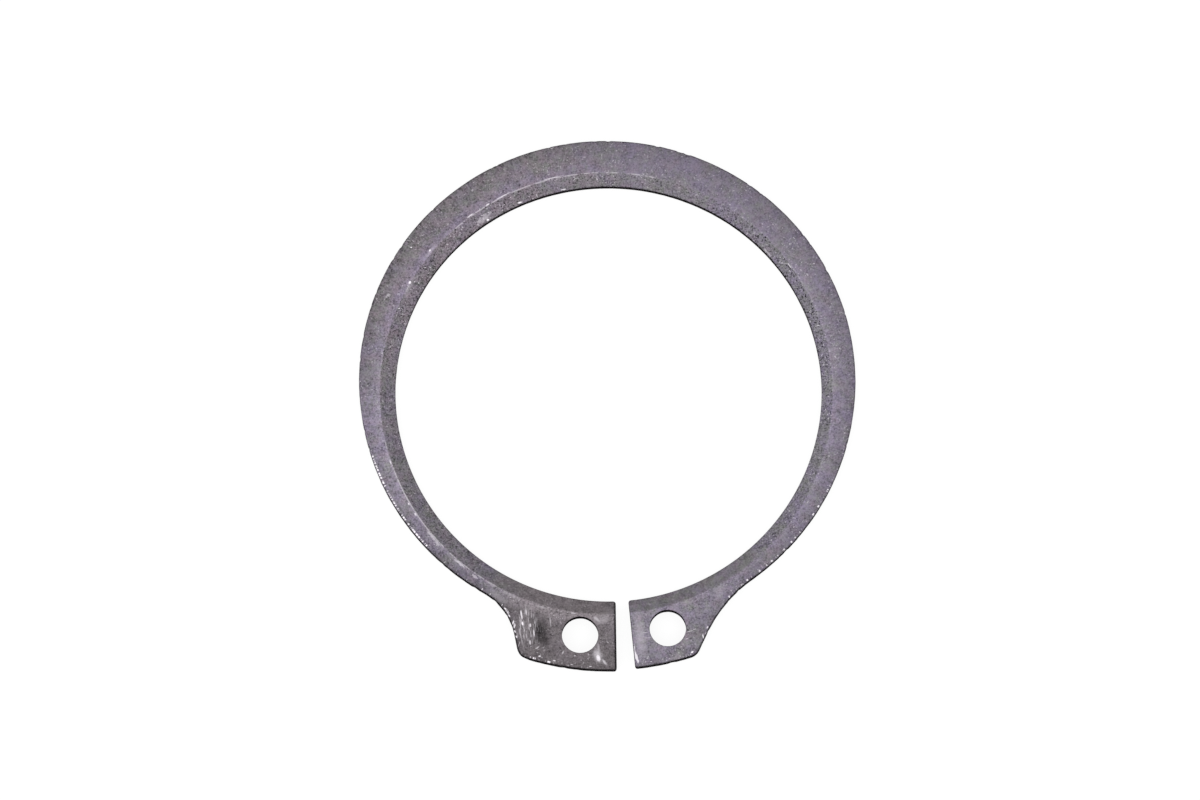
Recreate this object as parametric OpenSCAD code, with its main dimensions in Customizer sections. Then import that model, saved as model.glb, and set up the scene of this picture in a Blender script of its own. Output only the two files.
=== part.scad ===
// Retaining ring for a 32 mm shaft, the kind with a bevelled inner edge, lying flat with the bevel up.
// A flat open ring, broad at the back and slim near the gap, that ends in two lugs with plier holes.
// Millimetres, +Z up. The origin is the bore's centre on the underside, and the gap is at -Y.

/* [Ring] */
// thickness of the ring
ring_t = 1.5; // [1.2:0.05:2]
// bore of the relaxed ring, from the back to the gap
bore_d = 29.15; // [28.6:0.05:30]
// width of the ring at the back, where it is broadest
back_w = 3.22; // [2.6:0.01:3.8]
// width that the ring tapers to at the gap, before the lugs are added
front_w = 1.6; // [1.2:0.01:2.2]
// how far the outer edge lies to the left of the bore's centre
side_shift = 0.05; // [0:0.01:0.15]
// set kept from being sprung over shafts: how much wider than long the ring has become
spread = 0.7; // [0.3:0.05:1.2]

/* [Bevel] */
// width of the bevelled band beside the bore
bevel_w = 0.93; // [0.6:0.01:1.1]
// slope of the band
bevel_deg = 15; // [10:1:20]
// how far the band is struck to the left of the bore's centre
bevel_shift = 0.15; // [0:0.01:0.3]

/* [Gap] */
// width of the gap at the bore
gap_w = 0.9; // [0.6:0.05:1.6]
// how far each end face leans away from the other
gap_lean = 2.5; // [0:0.1:6]
// rounding of the end faces' corners at the bore
gap_in_r = 0.15; // [0.05:0.01:0.3]
// rounding of the end faces' corners at the tips
gap_tip_r = 0.2; // [0.05:0.01:0.4]

/* [Lugs] */
// depth of the lugs, from the bore to their tips
lug_h = 4.88; // [4.3:0.01:5.6]
// rounding between tip and flank
corner_r = 1; // [0.5:0.05:1.5]
// half width of the broad lug, from the middle of the gap to the flank, beside the hole
broad_w = 7.65; // [7:0.05:8.4]
// lean of the broad lug's flank
broad_lean = 8; // [2:1:14]
// hollow where the broad lug runs into the ring
broad_root_r = 4.4; // [3:0.1:7]
// half width of the slim lug
slim_w = 6.05; // [5.6:0.05:6.6]
// lean of the slim lug's flank
slim_lean = 29; // [24:1:33]
// hollow where the slim lug runs into the ring
slim_root_r = 9.9; // [7:0.1:12]

/* [Plier holes] */
// diameter of the holes
hole_d = 2.55; // [2:0.05:2.9]
// distance of each hole from the middle of the gap
hole_x = 3.08; // [2.7:0.01:3.5]
// distance of each hole from the bore's edge
hole_in = 2.28; // [2:0.01:2.6]

/* [Hidden] */
$fn = 180;
bore_r = bore_d / 2;
outer_r = bore_r + (back_w + front_w) / 2;
back_shift = (back_w - front_w) / 2;
tip_r = bore_r + lug_h;
hole_y = bore_r + hole_in;
past = 0.5;
// waste and lugs run on to this many radii past the arcs that trim them
beyond = 2;
// arcs that only touch are made this much larger, so that they cross and leave no sliver
lap = 0.001;

// how far it is from v, along the unit vector u, to the circle of radius r about the zero point
function reach(v, u, r) = sqrt(pow(v * u, 2) - v * v + r * r) - v * u;
function unit(v) = v / norm(v);

// A disc drawn apart sideways by the spread.
module sprung_disc(r, x, y)
{
    for (side = [-1, 1])
        translate([x + side * spread / 2, y]) circle(r);
    translate([x - spread / 2, y - r]) square([spread, 2 * r]);
}

// One lug and its root, on the right. The flank passes the hole's level at half_w from the gap's middle.
module lug(half_w, lean, root_r, outer_at)
{
    out = [cos(lean), -sin(lean)];
    along = [-sin(lean), -cos(lean)];
    flank = [half_w, -hole_y] * out;
    // centre of the rounding, which touches the tip's arc and the flank
    near = (flank - corner_r) * out;
    corner = near + reach(near, along, tip_r - corner_r) * along;
    // centre of the hollow, which touches the flank and the outer edge
    far = (flank + root_r) * out;
    hollow = far + reach(far - outer_at, along, outer_r + root_r) * along;
    foot = hollow - root_r * out;

    intersection() {
        circle(tip_r);
        difference() {
            polygon([
                [0, 0], [0, -beyond * tip_r], beyond * corner, corner, corner + corner_r * out,
                foot, hollow, outer_at
            ]);
            translate(hollow) circle(root_r + lap);
        }
    }
    translate(corner) circle(corner_r + lap);
}

// What a rounding of radius r about c takes off a corner whose two edges it touches in directions a and b.
module corner_waste(c, r, a, b)
{
    side = beyond * r;
    difference() {
        polygon([c, c + side * a, c + side * (a + b), c + side * b]);
        translate(c) circle(r + lap);
    }
}

// Half of the gap, on the right, with the rounded corners of its end face.
module half_gap()
{
    inward = [cos(gap_lean), sin(gap_lean)];
    along = [sin(gap_lean), -cos(gap_lean)];
    mouth = [gap_w / 2, -bore_r];
    bore_at = [spread / 2, 0];
    in_line = (mouth * inward + gap_in_r) * inward;
    in_c = in_line + reach(in_line - bore_at, along, bore_r + gap_in_r) * along;
    tip_line = (mouth * inward + gap_tip_r) * inward;
    tip_c = tip_line + reach(tip_line, along, tip_r - gap_tip_r) * along;
    depth = tip_r - bore_r + past;

    polygon([[0, -bore_r + past], mouth - past * along, mouth + depth * along, [0, -tip_r - past]]);
    corner_waste(in_c, gap_in_r, -inward, unit(bore_at - in_c));
    corner_waste(tip_c, gap_tip_r, -inward, unit(tip_c));
}

// The ring seen from above.
module outline()
{
    difference() {
        union() {
            sprung_disc(outer_r, -side_shift, back_shift);
            lug(slim_w, slim_lean, slim_root_r, [spread / 2 - side_shift, back_shift]);
            mirror([1, 0]) lug(broad_w, broad_lean, broad_root_r, [spread / 2 + side_shift, back_shift]);
        }
        sprung_disc(bore_r, 0, 0);
        for (flip = [0, 1])
            mirror([flip, 0]) {
                half_gap();
                translate([hole_x, -hole_y]) circle(hole_d / 2);
            }
    }
}

// What the bevel takes off: a sprung cone from inside the bore to just above the upper face.
module bevel_waste()
{
    low_r = bore_r - bevel_shift - past;
    high_r = bore_r + bevel_w + past;
    height = (high_r - low_r) * tan(bevel_deg);
    drop = (bore_r + bevel_w - low_r) * tan(bevel_deg);
    translate([-bevel_shift, 0, ring_t - drop]) {
        for (side = [-1, 1])
            translate([side * spread / 2, 0, 0]) cylinder(h = height, r1 = low_r, r2 = high_r);
        translate([-spread / 2, 0, 0]) rotate([90, 0, 90]) linear_extrude(spread)
            polygon([[-low_r, 0], [low_r, 0], [high_r, height], [-high_r, height]]);
    }
}

module retaining_ring()
{
    color([0.44, 0.43, 0.47])
        difference() {
            linear_extrude(ring_t) outline();
            bevel_waste();
        }
}

retaining_ring();
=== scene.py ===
import bpy
import math
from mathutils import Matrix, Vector


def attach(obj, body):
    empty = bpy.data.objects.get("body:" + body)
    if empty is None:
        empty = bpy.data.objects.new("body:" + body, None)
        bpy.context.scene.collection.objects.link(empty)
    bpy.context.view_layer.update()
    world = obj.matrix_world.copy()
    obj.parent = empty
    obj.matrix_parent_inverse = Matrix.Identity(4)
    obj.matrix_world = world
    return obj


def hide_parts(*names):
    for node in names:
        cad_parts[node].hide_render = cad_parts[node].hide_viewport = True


# Retaining ring lying flat on a pale floor, bevel up: a Geometry Nodes ring in procedural steel.
# The node trees count in millimetres, and the ring's tree makes them metres near its end.
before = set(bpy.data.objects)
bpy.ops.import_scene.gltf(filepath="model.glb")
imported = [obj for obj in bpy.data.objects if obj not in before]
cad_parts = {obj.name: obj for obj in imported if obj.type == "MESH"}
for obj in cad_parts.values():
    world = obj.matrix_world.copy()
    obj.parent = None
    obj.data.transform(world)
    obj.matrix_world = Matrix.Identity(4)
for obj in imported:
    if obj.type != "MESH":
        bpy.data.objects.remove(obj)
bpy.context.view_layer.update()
mm = 0.001
degree = math.radians(1)
quarter = math.pi / 2
print("frame loaded")


# Camera

camera = {
    "target": (-0.6231, -0.4711, 1.5),
    "azimuth": -3.7,
    "elevation": 83.2,
    "distance": 1200.0,
    "lens": 513.43,
    "sensor": 36.0,
}


def makeCamera(c):
    turn, rise = c["azimuth"] * degree, c["elevation"] * degree
    back = Vector((math.sin(turn) * math.cos(rise), -math.cos(turn) * math.cos(rise), math.sin(rise)))
    data = bpy.data.cameras.new("camera")
    data.lens = c["lens"]
    data.sensor_width = c["sensor"]
    data.dof.use_dof = False
    made = bpy.data.objects.new("camera", data)
    made.location = (Vector(c["target"]) + back * c["distance"]) * mm
    made.rotation_euler = (-back).to_track_quat("-Z", "Y").to_euler()
    bpy.context.scene.collection.objects.link(made)
    bpy.context.scene.camera = made


makeCamera(camera)
print("camera placed")


# Sums in a node tree, written as in plain Python


class Field:  # an output socket that can be added, multiplied and compared
    def __init__(self, tree, socket):
        self.tree = tree
        self.socket = socket

    def __add__(self, other):
        return mathNode("ADD", self, other)

    def __radd__(self, other):
        return mathNode("ADD", other, self)

    def __sub__(self, other):
        return mathNode("SUBTRACT", self, other)

    def __rsub__(self, other):
        return mathNode("SUBTRACT", other, self)

    def __mul__(self, other):
        return mathNode("MULTIPLY", self, other)

    def __rmul__(self, other):
        return mathNode("MULTIPLY", other, self)

    def __truediv__(self, other):
        return mathNode("DIVIDE", self, other)

    def __lt__(self, other):
        return mathNode("LESS_THAN", self, other)

    def __gt__(self, other):
        return mathNode("GREATER_THAN", self, other)


def plug(tree, socket, value):
    if isinstance(value, Field):
        tree.links.new(value.socket, socket)
    else:
        socket.default_value = value


def node(tree, kind, inputs=(), **settings):  # a node with its settings and its inputs, by place or name
    made = tree.nodes.new(kind)
    for name, value in settings.items():
        setattr(made, name, value)
    pairs = inputs.items() if isinstance(inputs, dict) else enumerate(inputs)
    for name, value in pairs:
        plug(tree, made.inputs[name], value)
    return made


def out(made, which=0):
    return Field(made.id_data, made.outputs[which])


def treeOf(*values):
    return next((v.tree for v in values if isinstance(v, Field)), None)


def mathNode(operation, *values):
    return out(node(treeOf(*values), "ShaderNodeMath", values, operation=operation))


def eitherWay(operation, plain):  # a function that takes numbers and fields alike
    def chosen(*values):
        return mathNode(operation, *values) if treeOf(*values) else plain(*values)
    return chosen


sine = eitherWay("SINE", math.sin)
cosine = eitherWay("COSINE", math.cos)
arcSine = eitherWay("ARCSINE", math.asin)
arcTangent = eitherWay("ARCTAN2", math.atan2)
lower = eitherWay("MINIMUM", min)
upper = eitherWay("MAXIMUM", max)
squareRoot = eitherWay("SQRT", math.sqrt)
magnitude = eitherWay("ABSOLUTE", abs)


def root(x):
    return squareRoot(upper(x, 0))


def share(x):
    return lower(upper(x, 0), 1)


def smooth(x):  # a share that starts and stops gently
    t = share(x)
    return t * t * (3 - 2 * t)


def span(x, y):
    return squareRoot(x * x + y * y)


def blend(a, b, t):
    made = node(treeOf(a, b, t), "ShaderNodeMix", {0: t, 2: a, 3: b}, clamp_factor=False)
    return out(made)


def pick(condition, yes, no):
    return blend(no, yes, condition)


def noise(vector, scale, detail, roughness=0.5):
    made = node(vector.tree, "ShaderNodeTexNoise", {
        "Vector": vector, "Scale": scale, "Detail": detail, "Roughness": roughness})
    return out(made)


def xyz(tree, x, y, z):
    return out(node(tree, "ShaderNodeCombineXYZ", [x, y, z]))


# The ring, in millimetres and degrees. Its angles go from the broad back towards +X.

ring = {
    "thickness": 1.5,
    "bore radius": 14.8,
    "bore spread": 0.145,  # wider than long, perhaps from being sprung open
    "bore spread turn": 4.2,
    "bore egg": 0.035,
    "bore egg turn": 7.9,
    "edge radius": 17.23,
    "edge x": -0.046,
    "edge y": 0.79,
    "edge spread": 0.182,
    "edge spread turn": 7.2,
    "edge egg": 0.023,
    "edge egg turn": 16.8,
    "ridge radius": 15.73,
    "ridge x": -0.155,
    "ridge round": 0.06,
    "bevel slope": 15.0,
    "bevel blend": 0.05,
    "edge roll": 0.1,  # how far in the stamped outer edge is rolled
    "edge roll depth": 0.05,
    "bore roll": 0.06,
    "bore roll depth": 0.03,
    "hole roll": 0.06,
    "hole roll depth": 0.03,
    "under roll": 0.06,
    "under roll depth": 0.04,
    "end corner": 0.18,  # rounding of the end faces' corners, seen from above
    "edge wander": 0.02,
    "wander scale": 0.9,
    "nick depth": 0.06,
    "nick scale": 1.9,
    "nick above": 0.6,  # the level of noise where a nick starts
    "wall break": 0.012,  # how far the torn lower part of the walls stands back
    "tear scale": 2.2,
    "tear start": 0.2,  # shares of the wall's height
    "tear blend": 0.4,
    "wave height": 0.012,
    "wave scale": 0.4,
}

# The lugs. x is counted from the middle of the gap, levels from the bore's centre towards the tips.
broadLug = {
    "half width": 7.63,
    "width level": 16.86,
    "lean": 7.8,
    "tip radius": 19.515,
    "tip corner": 1.03,
    "root hollow": 4.4,
    "end gap": 0.44,
    "end lean": 2.8,
    "end roll": 0.18,
    "end roll depth": 0.2,
    "hole x": 3.081,
    "hole level": 16.892,
    "hole radius": 1.276,
}
slimLug = {
    "half width": 6.06,
    "width level": 16.86,
    "lean": 29.3,
    "tip radius": 19.425,
    "tip corner": 0.97,
    "root hollow": 9.9,
    "end gap": 0.442,
    "end lean": 2.2,
    "end roll": 0.08,
    "end roll depth": 0.07,
    "hole x": 3.077,
    "hole level": 16.82,
    "hole radius": 1.277,
}

grid = {
    "columns": 840,  # along the ring
    "end columns": 6,
    "bore rows": 5,  # across it, from the bore
    "bevel rows": 6,
    "ridge rows": 2,
    "flat rows": 18,
    "edge rows": 6,
    "wall rows": 8,
    "hole rows": 3,  # between the ring's own grid and a hole's rolled rim
    "rim rows": 4,
    "hole margin": 0.3,  # mm
}
offBand = -1  # the band row of points that are on no hole's band
nearly = 0.01  # shares this near to 0 or 1 count as 0 or 1
weld = 0.0004  # points this near to each other become one, in mm

# How the hollow at a lug's root is found
search = {
    "steps": range(200, 600),  # angles from the gap, in thousandths of a quarter turn
    "low": 5.0,  # how far up the flank its centre may lie, in mm
    "high": 20.0,
    "halvings": 24,
}


def sprung(angle, s, line):  # how far a sprung line lies outside its circle
    turn = s[line + " spread turn"] * degree
    eggTurn = s[line + " egg turn"] * degree
    spread = s[line + " spread"] * cosine((angle - turn) * 2)
    return -1 * spread - s[line + " egg"] * cosine((angle - eggTurn) * 3)


def boreLine(angle, s):
    return s["bore radius"] + sprung(angle, s, "bore")


def ridgeLine(angle, s):
    turn = s["bore spread turn"] * degree
    return s["ridge radius"] + s["ridge x"] * sine(angle) - s["bore spread"] * cosine((angle - turn) * 2)


def edgeLine(angle, s):  # the outer edge as it would run without lugs
    x, y = s["edge x"], s["edge y"]
    along = x * sine(angle) + y * cosine(angle)
    near = along + s["edge radius"]
    own = arcTangent(near * sine(angle) - x, near * cosine(angle) - y)
    radius = s["edge radius"] + sprung(own, s, "edge")
    return along + squareRoot(radius * radius - (x * x + y * y) + along * along)


def planLug(lug, side, s):  # the centres and angles that follow from a lug's sizes
    lean = lug["lean"] * degree
    outwards = Vector((math.cos(lean), math.sin(lean)))
    along = Vector((-math.sin(lean), math.cos(lean)))
    flank = Vector((lug["half width"], lug["width level"])).dot(outwards)
    near = outwards * (flank - lug["tip corner"])
    reach = (lug["tip radius"] - lug["tip corner"]) ** 2 - near.length_squared
    corner = near + along * math.sqrt(reach)

    def toEdge(centre):  # how near the ring's outer edge comes, and at which angle
        spots = []
        for step in search["steps"]:
            angle = step * 0.001 * quarter
            r = edgeLine(side * (math.pi - angle), s)
            spots.append(((centre - Vector((math.sin(angle), math.cos(angle))) * r).length, angle))
        return min(spots)

    low, high = search["low"], search["high"]
    for _ in range(search["halvings"]):
        middle = (low + high) / 2
        hollow = outwards * (flank + lug["root hollow"]) + along * middle
        if toEdge(hollow)[0] < lug["root hollow"]:
            low = middle
        else:
            high = middle
    touch = corner + outwards * lug["tip corner"]
    foot = hollow - outwards * lug["root hollow"]
    return {
        "flank distance": flank,
        "corner x": corner.x,
        "corner level": corner.y,
        "hollow x": hollow.x,
        "hollow level": hollow.y,
        "corner angle": math.atan2(corner.x, corner.y),
        "flank angle": math.atan2(touch.x, touch.y),
        "hollow angle": math.atan2(foot.x, foot.y),
        "ring angle": toEdge(hollow)[1],
    }


def planBlock(lug, side, s, g):  # the columns and rows that make room for a hole
    x, level = lug["hole x"], lug["hole level"]
    r, angle = math.hypot(x, level), math.atan2(x, level)
    reach = lug["hole radius"] + g["hole margin"]
    first = (lug["end gap"] + s["end corner"]) / r
    perColumn = (math.pi - first) / (g["columns"] / 2 - g["end columns"])
    inner = ridgeLine(side * (math.pi - angle), s) + s["ridge round"]
    perRow = (lug["tip radius"] - s["end corner"] - inner) / g["flat rows"]
    flat = g["bore rows"] + g["bevel rows"] + g["ridge rows"]
    return {
        "block start": g["end columns"] + math.floor((angle - reach / r - first) / perColumn),
        "block end": g["end columns"] + math.ceil((angle + reach / r - first) / perColumn),
        "block inside": flat + max(0, math.floor((r - reach - inner) / perRow)),
        "block outside": flat + math.ceil((r + reach - inner) / perRow),
    }


def lugEdge(angle, ringEdge, p):  # the outer edge at an angle from the gap, and its outward direction
    x, y = sine(angle), cosine(angle)
    leanX, leanY = cosine(p["lean"] * degree), sine(p["lean"] * degree)

    def toCircle(cx, cy, radius, far):
        along = cx * x + cy * y
        return along + far * root(along * along - (cx * cx + cy * cy) + radius * radius)

    rounding = toCircle(p["corner x"], p["corner level"], p["tip corner"], 1)
    flank = p["flank distance"] / (leanX * x + leanY * y)
    hollow = toCircle(p["hollow x"], p["hollow level"], p["root hollow"], -1)
    before = [angle < p[name] for name in ("ring angle", "hollow angle", "flank angle", "corner angle")]

    def chain(*values):  # from the ring towards the tip
        found = values[0]
        for condition, value in zip(before, values[1:]):
            found = pick(condition, value, found)
        return found

    r = chain(ringEdge, hollow, flank, rounding, p["tip radius"])
    across = []
    for axis, lean, corner, centre in ((x, leanX, "corner x", "hollow x"),
                                       (y, leanY, "corner level", "hollow level")):
        across.append(chain(axis, (p[centre] - hollow * axis) / p["root hollow"], lean,
                            (rounding * axis - p[corner]) / p["tip corner"], axis))
    return r, across[0], across[1]


def rolled(distance, width, depth):  # how much lower a rolled edge lies
    t = upper(1 - distance / width, 0)
    return depth * (1 - root(1 - t * t))


def ringPlaces(tree, s, g, lugs, column, row, height, bandRow):  # where each point of the grid goes
    half = g["columns"] * 0.5
    onLeft = column < half
    p = {name: pick(onLeft, lugs["broad"][name], lugs["slim"][name]) for name in lugs["broad"]}
    side = pick(onLeft, -1, 1)
    columnFromEnd = pick(onLeft, column, g["columns"] - column)
    corner = s["end corner"]

    # shares of each zone, and distances from the end face, the bore and the outer edge
    endShare = share(columnFromEnd / g["end columns"])
    middle = share((columnFromEnd - g["end columns"]) / (half - g["end columns"]))
    shares = {}
    start = 0
    for zone in ("bore rows", "bevel rows", "ridge rows", "flat rows", "edge rows"):
        shares[zone] = share((row - start) / g[zone])
        start = g[zone] + start
    fromEnd = corner * (1 - cosine(endShare * quarter))
    fromBore = corner * (1 - cosine(shares["bore rows"] * quarter))
    fromEdge = corner * (1 - sine(shares["edge rows"] * quarter))
    onBore = shares["bevel rows"] < nearly

    # the square corners of the grid are drawn into round ones
    a = 1 - fromEnd / corner
    b = 1 - lower(fromEdge, fromBore) / corner
    nearEnd = a * root(1 - b * b / 2)
    nearSide = b * root(1 - a * a / 2)
    edgeSide = (1 - onBore) * nearSide
    boreSide = onBore * nearSide
    pull = corner * (b - nearSide)
    endReach = fromEnd + corner * (a - nearEnd)
    edgeReach = fromEdge + (1 - onBore) * pull
    boreReach = fromBore + onBore * pull
    nearest = corner * (1 - span(nearEnd, nearSide))

    # the angle from the middle of the gap, which the leaning end face limits
    rounding = s["ridge round"]
    endBore = boreLine(math.pi, s)
    endRidge = ridgeLine(math.pi, s)
    endRadius = (endBore + fromBore
                 + shares["bevel rows"] * (endRidge - rounding - endBore - corner)
                 + shares["ridge rows"] * 2 * rounding
                 + shares["flat rows"] * (p["tip radius"] - corner - endRidge - rounding)
                 + (corner - fromEdge))
    lean = p["end lean"] * degree
    face = lean + arcSine((cosine(lean) * p["end gap"] - sine(lean) * endBore) / endRadius)
    first = face + endReach / endRadius
    angle = first + middle * (math.pi - first)
    turn = side * (math.pi - angle)
    ux, uy = sine(turn), cosine(turn)

    # the lines that the rows lie between, and the point
    edge, outX, outLevel = lugEdge(angle, edgeLine(turn, s), p)
    nx, ny = side * outX, outLevel * -1
    bore, ridge = boreLine(turn, s), ridgeLine(turn, s)
    inner = (bore + boreReach + shares["bevel rows"] * (ridge - rounding - bore - corner)
             + shares["ridge rows"] * 2 * rounding)
    outer = corner - edgeReach
    x = inner * ux + shares["flat rows"] * (edge * ux - corner * nx - (ridge + rounding) * ux) + outer * nx
    y = inner * uy + shares["flat rows"] * (edge * uy - corner * ny - (ridge + rounding) * uy) + outer * ny

    # a band's rows run from the ring's grid to its hole, down the wall and back out underneath
    onBand = bandRow > offBand / 2
    steps = g["hole rows"] + g["rim rows"]
    last = 2 * steps + g["wall rows"]
    inwards = lower(bandRow, last - bandRow)
    outerShare = share(inwards / g["hole rows"])
    rimShare = share((inwards - g["hole rows"]) / g["rim rows"])
    hx, hy = side * p["hole x"], p["hole level"] * -1
    away = span(x - hx, y - hy)
    room = away - p["hole radius"]
    fromHole = room + (s["hole roll"] - room) * outerShare - s["hole roll"] * sine(rimShare * quarter)
    dx, dy = (x - hx) / away, (y - hy) / away
    x = pick(onBand, hx + dx * (p["hole radius"] + fromHole), x)
    y = pick(onBand, hy + dy * (p["hole radius"] + fromHole), y)
    rimSide = onBand * upper(1 - fromHole / s["hole roll"], 0)

    # what stamping and use left: a ragged edge, nicks, torn lower walls
    flatPlace = xyz(tree, x, y, 0)
    wander = (noise(flatPlace, s["wander scale"], 3) - 0.5) * 2 * s["edge wander"]
    nick = smooth((noise(flatPlace, s["nick scale"], 1) - s["nick above"]) / 0.08) * edgeSide
    lowDown = 1 - smooth((height - s["tear start"]) / s["tear blend"])
    torn = s["wall break"] * lowDown * 2 * noise(xyz(tree, x, y, height), s["tear scale"], 3)
    outwards = (wander - torn) * edgeSide - nick * s["nick depth"] * 0.5
    x = x + nx * outwards + torn * (ux * boreSide - side * uy * nearEnd + dx * rimSide)
    y = y + ny * outwards + torn * (uy * boreSide + side * ux * nearEnd + dy * rimSide)

    # heights
    past = span(x, y) - ridge
    slope = sine(s["bevel slope"] * degree) / cosine(s["bevel slope"] * degree)
    bevel = slope * 0.5 * (span(past, s["bevel blend"]) - past)

    def rollSize(word):
        beside = pick(onBore, s["bore " + word], s["edge " + word])
        tiny = 0.001  # keeps both the divisor and the size above 0
        return (nearEnd * p["end " + word] + nearSide * beside) / (nearEnd + nearSide + tiny) + tiny

    top = (s["thickness"] - bevel - rolled(nearest, rollSize("roll"), rollSize("roll depth"))
           - onBand * rolled(fromHole, s["hole roll"], s["hole roll depth"])
           - nick * s["nick depth"] - noise(flatPlace, s["wave scale"], 1) * s["wave height"])
    under = (rolled(nearest, s["under roll"], s["under roll depth"])
             + onBand * rolled(fromHole, s["under roll"], s["under roll depth"]))
    point = xyz(tree, x, y, blend(under, top, height))
    kept = {
        "fromRidge": past,
        "fromEdge": (edge - span(x, y)) * (nx * ux + ny * uy),
        "fromEnd": (angle - face) * endRadius,
    }
    return point, kept


def stored(geometry, name, value):
    made = node(geometry.tree, "GeometryNodeStoreNamedAttribute", {
        "Geometry": geometry, "Name": name, "Value": value}, data_type="FLOAT", domain="POINT")
    return out(made)


def makeRingTree(sizes, lugSizes, faceMaterial, wallMaterial):
    tree = bpy.data.node_groups.new("ringFromSizes", "GeometryNodeTree")
    values = {}

    def sized(prefix, table):
        for name, value in table.items():
            kind = "NodeSocketInt" if isinstance(value, int) else "NodeSocketFloat"
            socket = tree.interface.new_socket(name=prefix + name, in_out="INPUT", socket_type=kind)
            socket.default_value = value
            values[socket.identifier] = value

    sized("", sizes)
    for lug, table in lugSizes.items():
        sized(lug + " ", table)
    tree.interface.new_socket(name="ring", in_out="OUTPUT", socket_type="NodeSocketGeometry")
    given = tree.nodes.new("NodeGroupInput")
    s = {name: Field(tree, given.outputs[name]) for name in sizes}
    lugFields = {lug: {name: Field(tree, given.outputs[lug + " " + name]) for name in table}
                 for lug, table in lugSizes.items()}

    # a box that will be bent round: columns along the ring, rows across it, height
    rows = 0
    for zone in ("bore rows", "bevel rows", "ridge rows", "flat rows", "edge rows"):
        rows = s[zone] + rows
    box = node(tree, "GeometryNodeMeshCube", {
        "Size": xyz(tree, s["columns"], rows, 1), "Vertices X": s["columns"] + 1,
        "Vertices Y": rows + 1, "Vertices Z": s["wall rows"] + 1})
    spot = node(tree, "ShaderNodeSeparateXYZ", [out(node(tree, "GeometryNodeInputPosition"))])
    column, row, height = out(spot) + s["columns"] * 0.5, out(spot, 1) + rows * 0.5, out(spot, 2) + 0.5
    onLeft = column < s["columns"] * 0.5
    fromEnd = pick(onLeft, column, s["columns"] - column)
    block = {name: pick(onLeft, lugFields["broad"][name], lugFields["slim"][name])
             for name in ("block start", "block end", "block inside", "block outside")}
    inBlock = ((fromEnd > block["block start"]) * (fromEnd < block["block end"])
               * (row > block["block inside"]) * (row < block["block outside"])
               * (magnitude(height - 0.5) > 0.5 - nearly))
    cut = out(node(tree, "GeometryNodeDeleteGeometry", {"Geometry": out(box), "Selection": inBlock},
                   domain="FACE"))
    for name, value in (("column", column), ("row", row), ("height", height), ("bandRow", offBand)):
        cut = stored(cut, name, value)

    # a band of its own round each hole
    joined = tree.nodes.new("GeometryNodeJoinGeometry")
    tree.links.new(cut.socket, joined.inputs[0])
    steps = s["hole rows"] + s["rim rows"]
    last = 2 * steps + s["wall rows"]
    for lug, p in lugFields.items():
        wide = p["block end"] - p["block start"]
        tall = p["block outside"] - p["block inside"]
        around = 2 * (wide + tall)
        band = node(tree, "GeometryNodeMeshGrid", {
            "Size X": around, "Size Y": last, "Vertices X": around + 1, "Vertices Y": last + 1})
        k, t = out(spot) + around * 0.5, out(spot, 1) + last * 0.5
        fromEnd = (p["block start"] + lower(k, wide)
                   - lower(upper(k - wide - tall, 0), wide))
        row = (p["block inside"] + lower(upper(k - wide, 0), tall)
               - lower(upper(k - 2 * wide - tall, 0), tall))
        made = out(band)
        if lug == "slim":
            made = out(node(tree, "GeometryNodeFlipFaces", {"Mesh": made}))
        column = fromEnd if lug == "broad" else s["columns"] - fromEnd
        for name, value in (("column", column), ("row", row),
                            ("height", 1 - share((t - steps) / s["wall rows"])), ("bandRow", t)):
            made = stored(made, name, value)
        tree.links.new(made.socket, joined.inputs[0])

    def kept(name):
        return out(node(tree, "GeometryNodeInputNamedAttribute", {"Name": name}, data_type="FLOAT"))

    point, extras = ringPlaces(tree, s, s, lugFields, kept("column"), kept("row"), kept("height"),
                               kept("bandRow"))
    whole = out(joined)
    for name, value in extras.items():
        whole = stored(whole, name, value)
    whole = out(node(tree, "GeometryNodeSetPosition", {"Geometry": whole, "Position": point}))
    whole = out(node(tree, "GeometryNodeMergeByDistance", {"Geometry": whole, "Distance": weld}))
    whole = out(node(tree, "GeometryNodeSetShadeSmooth", {"Geometry": whole, "Shade Smooth": True}))
    whole = out(node(tree, "GeometryNodeTransform", {"Geometry": whole, "Scale": (mm, mm, mm)}))
    whole = out(node(tree, "GeometryNodeRealizeInstances", {"Geometry": whole}))
    whole = out(node(tree, "GeometryNodeSetMaterial", {"Geometry": whole, "Material": faceMaterial}))
    onWall = (kept("height") > nearly) * (kept("height") < 1 - nearly)
    whole = out(node(tree, "GeometryNodeSetMaterial", {
        "Geometry": whole, "Selection": onWall, "Material": wallMaterial}))
    done = tree.nodes.new("NodeGroupOutput")
    tree.links.new(whole.socket, done.inputs[0])
    return tree, values


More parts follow.
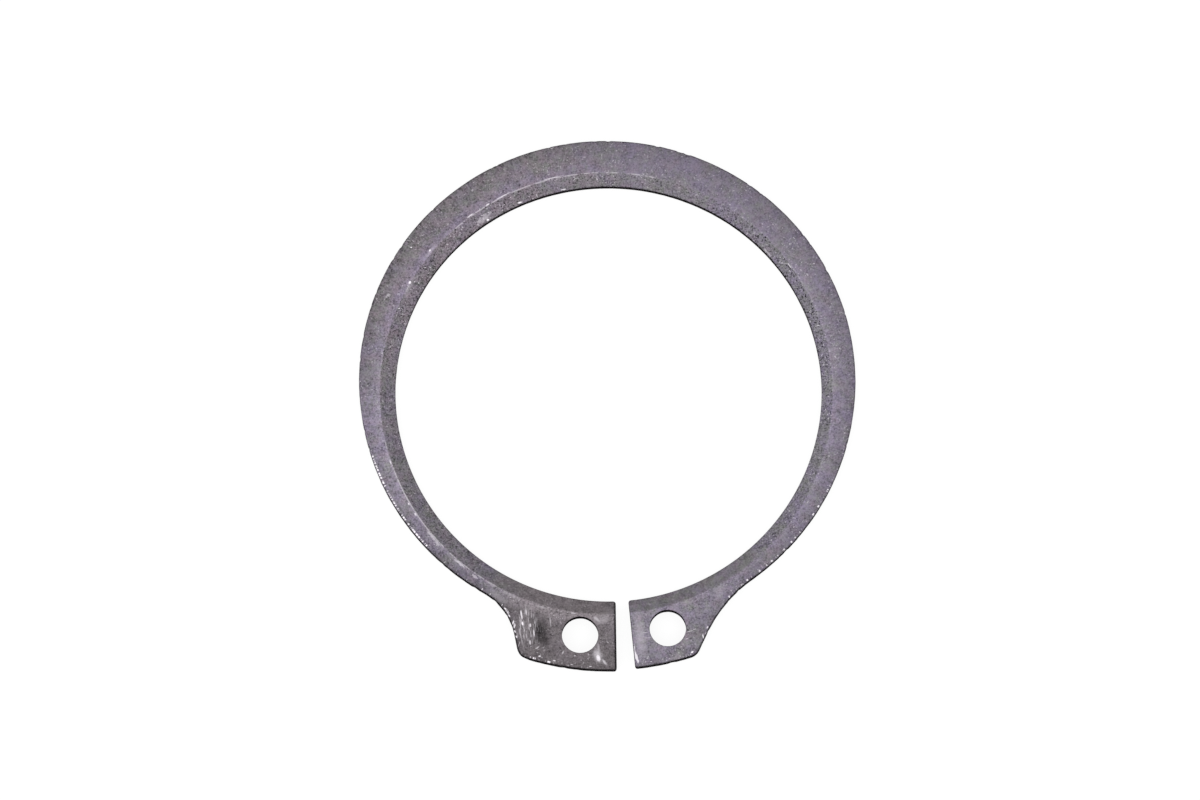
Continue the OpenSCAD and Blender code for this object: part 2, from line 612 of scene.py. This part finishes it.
def makeRing(faceMaterial, wallMaterial):
    sizes = {**ring, **grid}
    lugSizes = {}
    for name, lug, side in (("broad", broadLug, -1), ("slim", slimLug, 1)):
        lugSizes[name] = {**lug, **planLug(lug, side, ring), **planBlock(lug, side, ring, grid)}
    tree, values = makeRingTree(sizes, lugSizes, faceMaterial, wallMaterial)
    holder = bpy.data.objects.new("ringHolder", bpy.data.meshes.new("ringHolder"))
    bpy.context.scene.collection.objects.link(holder)
    modifier = holder.modifiers.new("ringFromSizes", "NODES")
    modifier.node_group = tree
    for identifier, value in values.items():
        modifier[identifier] = value
    view = bpy.context.evaluated_depsgraph_get()
    mesh = bpy.data.meshes.new_from_object(holder.evaluated_get(view))
    bpy.data.objects.remove(holder)
    for name in ("column", "row", "height", "bandRow"):
        mesh.attributes.remove(mesh.attributes[name])
    made = bpy.data.objects.new("springRing", mesh)
    bpy.context.scene.collection.objects.link(made)
    print("ring made:", len(mesh.vertices), "points,", len(mesh.polygons), "faces")
    return made


# Steel: shared effects as node groups, in millimetres


def makeGroup(name, inputs, build):  # a node group with one value out
    tree = bpy.data.node_groups.new(name, "ShaderNodeTree")
    for word, value in inputs.items():
        kind = "NodeSocketVector" if isinstance(value, tuple) else "NodeSocketFloat"
        tree.interface.new_socket(name=word, in_out="INPUT", socket_type=kind).default_value = value
    tree.interface.new_socket(name="value", in_out="OUTPUT", socket_type="NodeSocketFloat")
    given = tree.nodes.new("NodeGroupInput")
    made = build(tree, {word: Field(tree, given.outputs[word]) for word in inputs})
    done = tree.nodes.new("NodeGroupOutput")
    plug(tree, done.inputs["value"], made)
    return tree


def useGroup(tree, group, inputs):
    made = tree.nodes.new("ShaderNodeGroup")
    made.node_tree = group
    for word, value in inputs.items():
        plug(tree, made.inputs[word], value)
    return out(made)


def apart(place):
    made = node(place.tree, "ShaderNodeSeparateXYZ", [place])
    return out(made), out(made, 1), out(made, 2)


def buildGrain(tree, s):  # crystals of the phosphate coat, about 0 on average
    coarse = noise(s["place"], s["size"], 3.6, 0.86) - 0.5
    fine = noise(s["place"], s["size"] * 5.5, 1.2, 0.6) - 0.5
    return coarse * 1.5 + fine * s["bite"]


def buildSpot(tree, s):  # one spot for worn places, stains and painted highlights: 1 inside, 0 outside
    x, y, _ = apart(s["place"])
    turn = s["turn"] * degree
    dx, dy = x - s["x"], y - s["y"]
    along = dx * cosine(turn) + dy * sine(turn)
    across = dy * cosine(turn) - dx * sine(turn)
    ragged = (noise(s["place"], 3.1, 3, 0.7) - 0.5) * s["ragged"]
    return smooth((1 - span(along / s["length"], across / s["width"]) + ragged) / s["softness"])


def buildDrags(tree, s):  # strokes side by side, all in one direction
    x, y, z = apart(s["place"])
    turn = s["turn"] * degree
    along = x * cosine(turn) + y * sine(turn)
    across = y * cosine(turn) - x * sine(turn)
    streak = noise(xyz(tree, along / s["length"], across / s["width"], z / s["length"]), 1, 2, 0.6)
    return smooth((streak - 0.72 + s["cover"] * 0.35) / 0.13)


def buildEdgeWearAndGlints(tree, s):  # dashes of bare steel along an edge, partly painted glints of its rolled top
    band = smooth((s["reach"] - s["distance"]) / 0.04) * smooth((s["distance"] - 0.015) / 0.03)
    broken = noise(s["along"], 2.5, 2.5, 0.85)
    return band * smooth((broken - 0.7 + s["cover"] * 0.23) / 0.07)


nowhere = (0.0, 0.0, 0.0)
steelGrain = makeGroup("steelGrain", {"place": nowhere, "size": 1.3, "bite": 0.5}, buildGrain)
spotShape = makeGroup("spotShape", {
    "place": nowhere, "x": 0.0, "y": 0.0, "turn": 0.0, "length": 1.0, "width": 1.0, "ragged": 0.5,
    "softness": 0.5}, buildSpot)
dragMarks = makeGroup("dragMarks", {
    "place": nowhere, "turn": 0.0, "length": 1.0, "width": 0.1, "cover": 0.5}, buildDrags)
edgeWearAndGlints = makeGroup("edgeWearAndGlints", {
    "along": nowhere, "distance": 1.0, "reach": 0.17, "cover": 0.5}, buildEdgeWearAndGlints)

steel = {
    "lilac": (0.217, 0.188, 0.259, 1),
    "grey": (0.208, 0.205, 0.207, 1),
    "umber": (0.226, 0.199, 0.208, 1),
    "rose": (0.234, 0.19, 0.219, 1),
    # bare steel, made bright enough to serve for painted highlights and glints too
    "bareAndHighlight": (0.86, 0.82, 0.87, 1),
    # the walls' colour, far darker than the faces: partly a dark sheared finish, partly painted shade on
    # the upright walls
    "wall": (0.017, 0.014, 0.016),
    "roughness": 0.5,
    "top above": 0.7,  # what lies higher is on the upper face, in mm
    # what changes round the ring: a base, then the middle angle, reach and addition of each patch
    # the rows named light and shade are painted light and shade
    "edge shade": (0.22, (-100, 22, -0.17), (-141, 18, 0.16)),
    "ridge light": (0.1, (-118, 60, 0.3), (-90, 100, 0.06), (95, 55, 0.18), (-62, 25, 0.14)),
    "bevel shade": (0.04, (125, 60, -0.08)),
    "flat light": (0, (95, 55, 0.05), (-101, 22, 0.055), (165, 28, 0.1)),
    "flat shade": (0, (-139, 22, 0.06)),
    "flat calm": (0, (95, 55, 0.2), (28, 50, 0.32)),
    "bevel bite": (0.7, (-38, 55, 0.9), (58, 44, 1.3)),
    "blotches": (0.1, (-38, 55, 0.4), (78, 45, 0.22)),
    # where the painted highlight along the ridge shows, round the ring
    "ridge highlight cover": (0.12, (-26, 24, 0.45), (6, 24, 0.4), (48, 30, 0.2), (88, 40, 0.2),
                    (-95, 40, 0.2), (-128, 34, 0.45)),
    "edge cover": (0.15, (-113, 20, 0.75), (-136, 20, 0.4), (-92, 25, 0.15), (-156, 12, 0.55),
                   (-171, 14, 0.45), (128, 32, 0.62), (85, 30, 0.2), (158, 14, 0.45),
                   (173, 10, 0.45)),
    # x, y, turn, half length, half width, ragged, softness, strength: light worn places and painted
    # highlights
    "worn and highlights": [
        (-6.9, -15.9, 80, 1.7, 1.0, 1.0, 1.2, 0.06),
        (-1.93, -18.4, 105, 0.85, 0.46, 1.1, 1.1, 0.5),
        (-1.9, -18.6, 108, 0.42, 0.22, 1.2, 0.8, 0.9),
        (-1.5, -18.95, 125, 0.34, 0.14, 1.3, 0.9, 0.5),
        (-1.85, -18.0, 95, 0.55, 0.14, 0.9, 0.8, 0.3),
        (-1.4, -15.95, 30, 0.75, 0.45, 0.8, 1.0, 0.16),
        (-1.85, -15.9, 140, 0.42, 0.16, 1.4, 0.8, 0.34),
        (1.1, -17.3, 92, 2.4, 0.62, 0.7, 1.0, 0.22),
        (0.76, -18.75, 100, 0.45, 0.12, 2.2, 0.5, 0.75),
        (0.66, -18.1, 95, 0.3, 0.06, 2.0, 0.5, 0.5),
        (1.41, -17.04, 0, 0.32, 0.04, 0.4, 0.6, 0.4),
        (1.64, -17.42, -3, 0.34, 0.035, 0.4, 0.6, 0.4),
        (4.6, -17.14, 12, 0.3, 0.035, 0.4, 0.6, 0.45),
        (4.95, -17.02, 8, 0.16, 0.04, 0.4, 0.6, 0.4),
        (3.4, -19.0, 25, 1.3, 0.4, 0.8, 1.1, 0.12),
        (6.9, -14.4, 60, 1.0, 0.5, 1.0, 1.0, 0.12),
        (-7.09, -15.2, 95, 0.42, 0.08, 0.9, 0.6, 0.75),
        (-6.75, -15.05, 90, 0.3, 0.06, 0.7, 0.6, 0.6),
        (-7.05, -15.85, 100, 0.2, 0.09, 0.7, 0.6, 0.9),
        (-6.52, -16.0, 90, 0.18, 0.08, 0.7, 0.6, 0.7),
        (-6.3, -16.56, 91, 0.36, 0.07, 0.6, 0.6, 0.7),
        (-6.61, -17.2, 88, 0.2, 0.07, 0.7, 0.6, 0.6),
        (-5.1, -15.8, 92, 0.6, 0.06, 0.6, 0.8, 0.35),
        (-6.1, -17.6, 40, 0.2, 0.06, 1.2, 0.6, 0.5),
        (-4.35, -18.05, 60, 0.2, 0.08, 1.0, 0.7, 0.4),
        (-8.6, -13.9, -32, 1.5, 0.45, 0.9, 1.1, 0.14),
        (-13.4, 8.68, 60, 0.15, 0.11, 0.6, 0.6, 1.0),
        (-13.45, 8.35, 60, 1.3, 0.3, 0.9, 1.1, 0.2),
        (-11.9, 10.7, 48, 1.1, 0.22, 1.2, 1.0, 0.18),
        (-13.6, 8.25, 60, 0.35, 0.05, 1.6, 0.6, 0.5),
        (-11.85, 10.85, 40, 0.12, 0.08, 0.8, 0.6, 0.9),
        (-14.26, 6.9, 0, 0.08, 0.06, 0.8, 0.6, 0.8),
        (-13.15, 11.15, 0, 0.08, 0.06, 0.8, 0.6, 0.8),
        (-15.0, 7.85, 30, 0.3, 0.16, 2.4, 0.6, 0.35),
        (-7.66, 12.78, 20, 0.13, 0.1, 0.8, 0.6, 1.0),
        (-5.33, 13.86, 10, 0.2, 0.08, 1.0, 0.6, 0.9),
        (-8.05, 13.1, 30, 0.08, 0.05, 0.8, 0.6, 0.6),
        (-7.66, 13.55, 80, 0.09, 0.04, 0.8, 0.6, 0.35),
        (-8.32, 12.68, 40, 0.1, 0.05, 0.8, 0.6, 0.4),
        (-7.85, 12.95, 30, 0.65, 0.34, 3.0, 0.6, 0.3),
        (-2.21, 14.58, 8, 0.26, 0.08, 1.6, 0.5, 0.6),
        # painted highlights along the ridge
        (-12.87, -9.49, -54, 1.1, 0.13, 3.2, 0.6, 0.36),
        (-11.15, -11.35, -45, 0.8, 0.11, 3.2, 0.6, 0.42),
        (-10.16, -12.34, -39, 0.35, 0.1, 2.4, 0.6, 0.3),
        (-9.1, -12.9, -35, 0.5, 0.09, 3.0, 0.6, 0.24),
        (-7.7, -13.83, -29, 0.8, 0.15, 2.6, 0.7, 0.16),
        (-5.68, -14.77, -20, 0.6, 0.12, 1.4, 0.8, 0.22),
        (-3.46, -15.35, -12, 0.3, 0.08, 1.2, 0.7, 0.35),
        (-15.56, -3.88, -76, 0.22, 0.07, 1.0, 0.6, 0.7),
        (-14.05, -7.68, -62, 0.16, 0.08, 0.8, 0.6, 0.7),
        (-14.47, -6.92, -64, 0.12, 0.06, 0.8, 0.6, 0.7),
        (-2.93, 15.42, 10, 0.9, 0.05, 1.0, 0.6, 0.5),
        (-6.48, 14.37, 24, 0.7, 0.05, 1.0, 0.6, 0.6),
        (-7.6, 13.83, 29, 0.2, 0.07, 0.8, 0.6, 0.7),
        (-8.89, 13.12, 34, 0.34, 0.06, 0.8, 0.6, 0.65),
        (13.23, 8.21, -58, 0.4, 0.06, 1.2, 0.6, 0.5),
        (11.77, 9.2, -50, 0.35, 0.1, 2.8, 0.5, 0.4),
        # flecks along the stamped edges: bare steel, partly painted glints
        (-8.2, -14.72, -45, 0.13, 0.06, 0.8, 0.6, 0.9),
        (-7.95, -15.24, -60, 0.17, 0.06, 0.8, 0.6, 0.95),
        (-7.62, -16.37, -75, 0.12, 0.06, 0.8, 0.6, 0.95),
        (-7.54, -16.75, -75, 0.11, 0.06, 0.8, 0.6, 0.9),
        (-6.0, -18.22, 0, 0.12, 0.07, 0.8, 0.6, 0.8),
        (-5.0, -18.6, -15, 0.16, 0.07, 0.8, 0.6, 0.7),
        (-3.8, -18.95, -12, 0.13, 0.04, 0.8, 0.6, 0.55),
        (-2.5, -19.17, -8, 0.12, 0.04, 0.8, 0.6, 0.7),
        (1.75, -19.1, 5, 0.09, 0.04, 0.8, 0.6, 0.6),
        (3.05, -18.98, 10, 0.1, 0.04, 0.8, 0.6, 0.45),
        (4.68, -18.62, 25, 0.14, 0.08, 0.8, 0.6, 0.9),
        (5.85, -16.95, 60, 0.12, 0.06, 0.8, 0.6, 0.8),
        (5.7, -17.35, 60, 0.12, 0.04, 0.8, 0.6, 0.4),
    ],
    # the same for dark stains, taken off
    "stains": [
        (-5.85, -16.42, 97, 1.8, 0.95, 1.0, 1.1, 0.84),
        (-5.45, -17.4, 100, 0.9, 0.4, 1.0, 1.1, 0.3),
        (-5.0, -17.8, 90, 0.9, 0.5, 0.9, 1.2, 0.14),
    ],
    # the same for the place on the broad lug where drag marks show
    "rubbed": (-6.75, -16.1, 85, 2.0, 1.2, 0.9, 0.8, 0.42),
}
meanRadius = 17  # turns an angle into a length along the ring, in mm


def makeSteel(name):
    made = bpy.data.materials.new(name)
    made.use_nodes = True
    tree = made.node_tree
    place = node(tree, "ShaderNodeVectorMath", [
        out(node(tree, "ShaderNodeTexCoord"), "Object")], operation="SCALE")
    place.inputs["Scale"].default_value = 1 / mm
    return made, tree, tree.nodes["Principled BSDF"], out(place)


def attribute(tree, name):
    return out(node(tree, "ShaderNodeAttribute", attribute_name=name), "Fac")


def around(turn, centre, reach):  # 1 about this angle, in degrees, and 0 beyond the reach
    return smooth(1.6 * (1 - magnitude(turn - centre) / reach))


def byAngle(angle, base, *patches):  # a value that changes round the ring
    total = base
    for centre, reach, addition in patches:
        total = total + around(angle, centre, reach) * addition
    return total


def markOf(tree, place, row):  # one row of a table of marks
    *shape, strength = row
    names = ("x", "y", "turn", "length", "width", "ragged", "softness")
    return useGroup(tree, spotShape, {"place": place, **dict(zip(names, shape))}) * strength


def decay(x):
    return mathNode("EXPONENT", x * -1)


def tinted(tree, a, b, t):  # from colour a to colour b
    made = node(tree, "ShaderNodeMix", {0: t, 6: a, 7: b}, data_type="RGBA", clamp_factor=True)
    return out(made, 2)


def shaded(tree, colour, gain):
    made = node(tree, "ShaderNodeVectorMath", {0: colour, "Scale": gain}, operation="SCALE")
    return out(made)


def makeFaceSteel(c):
    made, tree, shader, place = makeSteel("phosphatedSteel")
    x, y, z = apart(place)
    turn = arcTangent(x, y)
    angle = turn / degree
    travel = turn * meanRadius
    fromRidge = attribute(tree, "fromRidge")
    fromEdge = attribute(tree, "fromEdge")
    fromEnd = attribute(tree, "fromEnd")
    onTop = z > c["top above"]
    bevelled = onTop * smooth(0.5 - fromRidge / 0.1)
    onFlat = 1 - bevelled
    upperLeft = around(angle, -38, 55)
    left = around(angle, -90, 100)
    right = around(angle, 95, 55)
    onLeftLug = around(angle, -165, 24)
    onLugs = smooth((magnitude(angle) - 132) / 18)

    # tint: lilac crystals among grey ones, browner in places
    wavering = (noise(place, 1.7, 3, 0.7) - 0.5) * 1.2
    rubbedBand = onTop * onFlat * smooth((0.9 - fromRidge + wavering) / 0.7)
    lilac = (0.68 - onFlat * upperLeft * 0.45 + rubbedBand * upperLeft * 0.75 - onLugs * 0.1
             - bevelled * 0.25
             + (noise(place, 0.6, 3, 0.6) - 0.5) * 2.1 + (noise(place, 2.6, 2, 0.7) - 0.5) * 1.8)
    rose = (0.1 + upperLeft * 0.25 + bevelled * (left * 0.1 - right * 0.5)
            + (noise(place, 1.3, 3, 0.65) - 0.5) * 2.4)
    colour = tinted(tree, tinted(tree, c["grey"], c["lilac"], lilac), c["rose"], rose)
    colour = tinted(tree, colour, c["umber"], onLeftLug * 0.8)

    # painted light and shade: lighter beside the ridge, darker towards the outer edge and on the bevel,
    # each by angle round the ring
    bevelBite = byAngle(angle, *c["bevel bite"]) - onLugs * 1.5
    grain = useGroup(tree, steelGrain, {
        "place": place, "size": 1.5, "bite": 1.7 + bevelled * bevelBite})
    beside = onTop * onFlat * decay(upper(fromRidge, 0) / 0.5)
    towards = onTop * onFlat * decay(fromEdge / 0.75)
    gain = (1 + beside * byAngle(angle, *c["ridge light"]) - towards * byAngle(angle, *c["edge shade"])
            - bevelled * byAngle(angle, *c["bevel shade"]) + onFlat * byAngle(angle, *c["flat light"]))
    gain = gain * (1 - onFlat * byAngle(angle, *c["flat shade"]))
    gain = gain * (1 + grain * (1.3 - bevelled * 0.15 - onFlat * byAngle(angle, *c["flat calm"])))
    blotch = noise(xyz(tree, travel * 4.5, span(x, y) * 1.6, 0), 1, 2, 0.6)
    blotched = smooth((blotch - 0.5) / 0.14) * onTop * towards
    gain = gain * (1 - blotched * byAngle(angle, *c["blotches"]))
    gain = gain * (1 - onLeftLug * smooth((fromRidge - 0.4) / 0.5) * onTop * 0.2)
    gain = gain * (1 - onTop * smooth((x + 2.2) / 0.8) * (x < 0) * onLeftLug * 0.06)
    pits = smooth((0.4 - noise(place, 4.2, 1.5)) / 0.06)
    gain = gain * (1 - pits * 0.14)
    for row in c["stains"]:
        gain = gain * (1 - markOf(tree, place, row) * onTop)
    # painted shade: the broad lug's end darker, as its rolled edge faces away from the light
    paintedEndShade = onTop * (x < 0) * smooth((0.17 - fromEnd) / 0.06)
    gain = gain * (1 - paintedEndShade * 0.65)
    # painted shade: a dark line along the lugs' outer edges, where the upright wall would show in shade
    rim = smooth((0.06 - fromEdge) / 0.04) * smooth((magnitude(angle) - 140) / 10)
    ragged = noise(xyz(tree, travel, span(x, y), z), 2.9, 2, 0.7)
    notches = smooth((0.08 - fromEdge) / 0.05) * smooth((ragged - 0.5) / 0.1)
    gain = gain * (1 - onTop * rim * 0.5) * (1 - onTop * notches * 0.4)
    colour = shaded(tree, colour, gain)

    # bare steel and painted highlights: specks, a painted highlight along the ridge, stamped edges partly
    # painted as glints, and worn places
    crystals = smooth((noise(place, 7.5, 1, 0.7) - 0.62 + bevelled * 0.02) / 0.12)
    cluster = smooth((noise(place, 0.9, 1) - 0.4) / 0.2)
    sparkle = 0.38 + bevelled * (upperLeft * 0.2 + right * 0.15 - onLugs * 0.2)
    bareAndHighlight = crystals * (0.25 + cluster * 0.75) * sparkle
    # painted highlight: a broken bright line along the ridge, where its curve would catch the light
    ridgeHighlightCover = byAngle(angle, *c["ridge highlight cover"])
    ridgeNoise = noise(xyz(tree, travel * 1.1, 4, 0), 1, 4, 0.8)
    ridgeBreak = smooth((ridgeNoise - 0.66 + ridgeHighlightCover * 0.4) / 0.1)
    paintedRidgeHighlight = onTop * decay((fromRidge / 0.04) * (fromRidge / 0.04)) * ridgeBreak
    bareAndHighlight = upper(bareAndHighlight, paintedRidgeHighlight * (0.12 + ridgeHighlightCover * 0.5))
    # bare dashes along the stamped edge, partly painted glints
    edgeCover = byAngle(angle, *c["edge cover"])
    dashes = useGroup(tree, edgeWearAndGlints, {
        "along": xyz(tree, travel, 0, 0), "distance": fromEdge, "cover": edgeCover})
    bareAndHighlight = upper(bareAndHighlight, onTop * dashes * share(0.25 + edgeCover * 0.8))
    drags = useGroup(tree, dragMarks, {
        "place": place, "turn": 91, "length": 0.8, "width": 0.12, "cover": 0.62})
    bareAndHighlight = upper(bareAndHighlight, onTop * onFlat * drags * markOf(tree, place, c["rubbed"]))
    for row in c["worn and highlights"]:
        bareAndHighlight = upper(bareAndHighlight, markOf(tree, place, row) * onTop)
    colour = tinted(tree, colour, c["bareAndHighlight"], share(bareAndHighlight))
    plug(tree, shader.inputs["Base Color"], colour)
    shader.inputs["Metallic"].default_value = 1
    plug(tree, shader.inputs["Roughness"], c["roughness"] - bareAndHighlight * 0.12 + grain * 0.25)
    bump = node(tree, "ShaderNodeBump", {"Height": grain, "Strength": 0.5, "Distance": 0.02 * mm})
    plug(tree, shader.inputs["Normal"], out(bump))
    return made


# the walls' steel: partly painted shade, being much darker than the faces
def makeWallSteel(c):
    made, tree, shader, place = makeSteel("shearedAndShadedSteel")
    x, y, z = apart(place)
    grain = useGroup(tree, steelGrain, {"place": place, "size": 2.2, "bite": 0.5})
    marks = noise(xyz(tree, x * 5, y * 5, z * 0.35), 1, 2, 0.6)  # the punch's vertical marks
    torn = smooth((0.62 + (noise(place, 1.1, 2) - 0.5) * 0.8 - z) / 0.1)
    gain = (1 + grain * 1.5 + (marks - 0.5) * 1.6 * (1 - torn)) * (1 - torn * 0.3)
    plug(tree, shader.inputs["Base Color"], shaded(tree, c["wall"], gain))
    plug(tree, shader.inputs["Roughness"], 0.55 + torn * 0.25)
    shader.inputs["Specular IOR Level"].default_value = 0
    bump = node(tree, "ShaderNodeBump", {
        "Height": grain * (0.5 + torn) + marks * (1 - torn), "Strength": 0.6, "Distance": 0.03 * mm})
    plug(tree, shader.inputs["Normal"], out(bump))
    return made


faceSteel = makeFaceSteel(steel)
wallSteel = makeWallSteel(steel)
print("steel ready")
springRing = makeRing(faceSteel, wallSteel)
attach(springRing, "root")
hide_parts("retaining_ring")


# Studio

studio = {
    "floor side": 3.0,
    "floor glow": 0.89,  # as the camera and shiny metal see it, so that the paper is white
    "floor shade": 0.2,  # the share that still takes the ring's shadow
    "floor colour": 0.8,  # as it lights the ring
    "world": 0.45,
    "lamp place": (-0.08, -0.16, 1.0),
    "lamp side": 1.6,
    "lamp power": 7.7,
}


def seenPlainly(tree):  # 1 for the rays that show the white paper
    rays = node(tree, "ShaderNodeLightPath")
    mirrored = upper(out(rays, "Is Glossy Ray"), out(rays, "Is Transmission Ray"))
    return upper(out(rays, "Is Camera Ray"), mirrored)


def makeStudio(c):
    bpy.ops.mesh.primitive_plane_add(size=c["floor side"])
    floor = bpy.context.object
    floor.name = "floor"
    paper = bpy.data.materials.new("paleFloor")
    paper.use_nodes = True
    tree = paper.node_tree
    shader = tree.nodes["Principled BSDF"]
    seen = seenPlainly(tree)
    plug(tree, shader.inputs["Base Color"], blend(c["floor colour"], c["floor shade"], seen))
    plug(tree, shader.inputs["Emission Color"], seen * c["floor glow"])
    shader.inputs["Emission Strength"].default_value = 1
    shader.inputs["Specular IOR Level"].default_value = 0
    shader.inputs["Roughness"].default_value = 1
    floor.data.materials.append(paper)

    world = bpy.data.worlds.new("studio")
    bpy.context.scene.world = world
    world.use_nodes = True
    tree = world.node_tree
    tree.nodes["Background"].inputs["Color"].default_value = (c["world"], c["world"], c["world"], 1)

    lamp = bpy.data.lights.new("softbox", "AREA")
    lamp.size = c["lamp side"]
    lamp.energy = c["lamp power"]
    holder = bpy.data.objects.new("softbox", lamp)
    holder.location = c["lamp place"]
    holder.rotation_euler = Vector(c["lamp place"]).to_track_quat("Z", "Y").to_euler()
    bpy.context.scene.collection.objects.link(holder)


makeStudio(studio)
bpy.context.scene.view_settings.view_transform = "Standard"
print("studio ready")
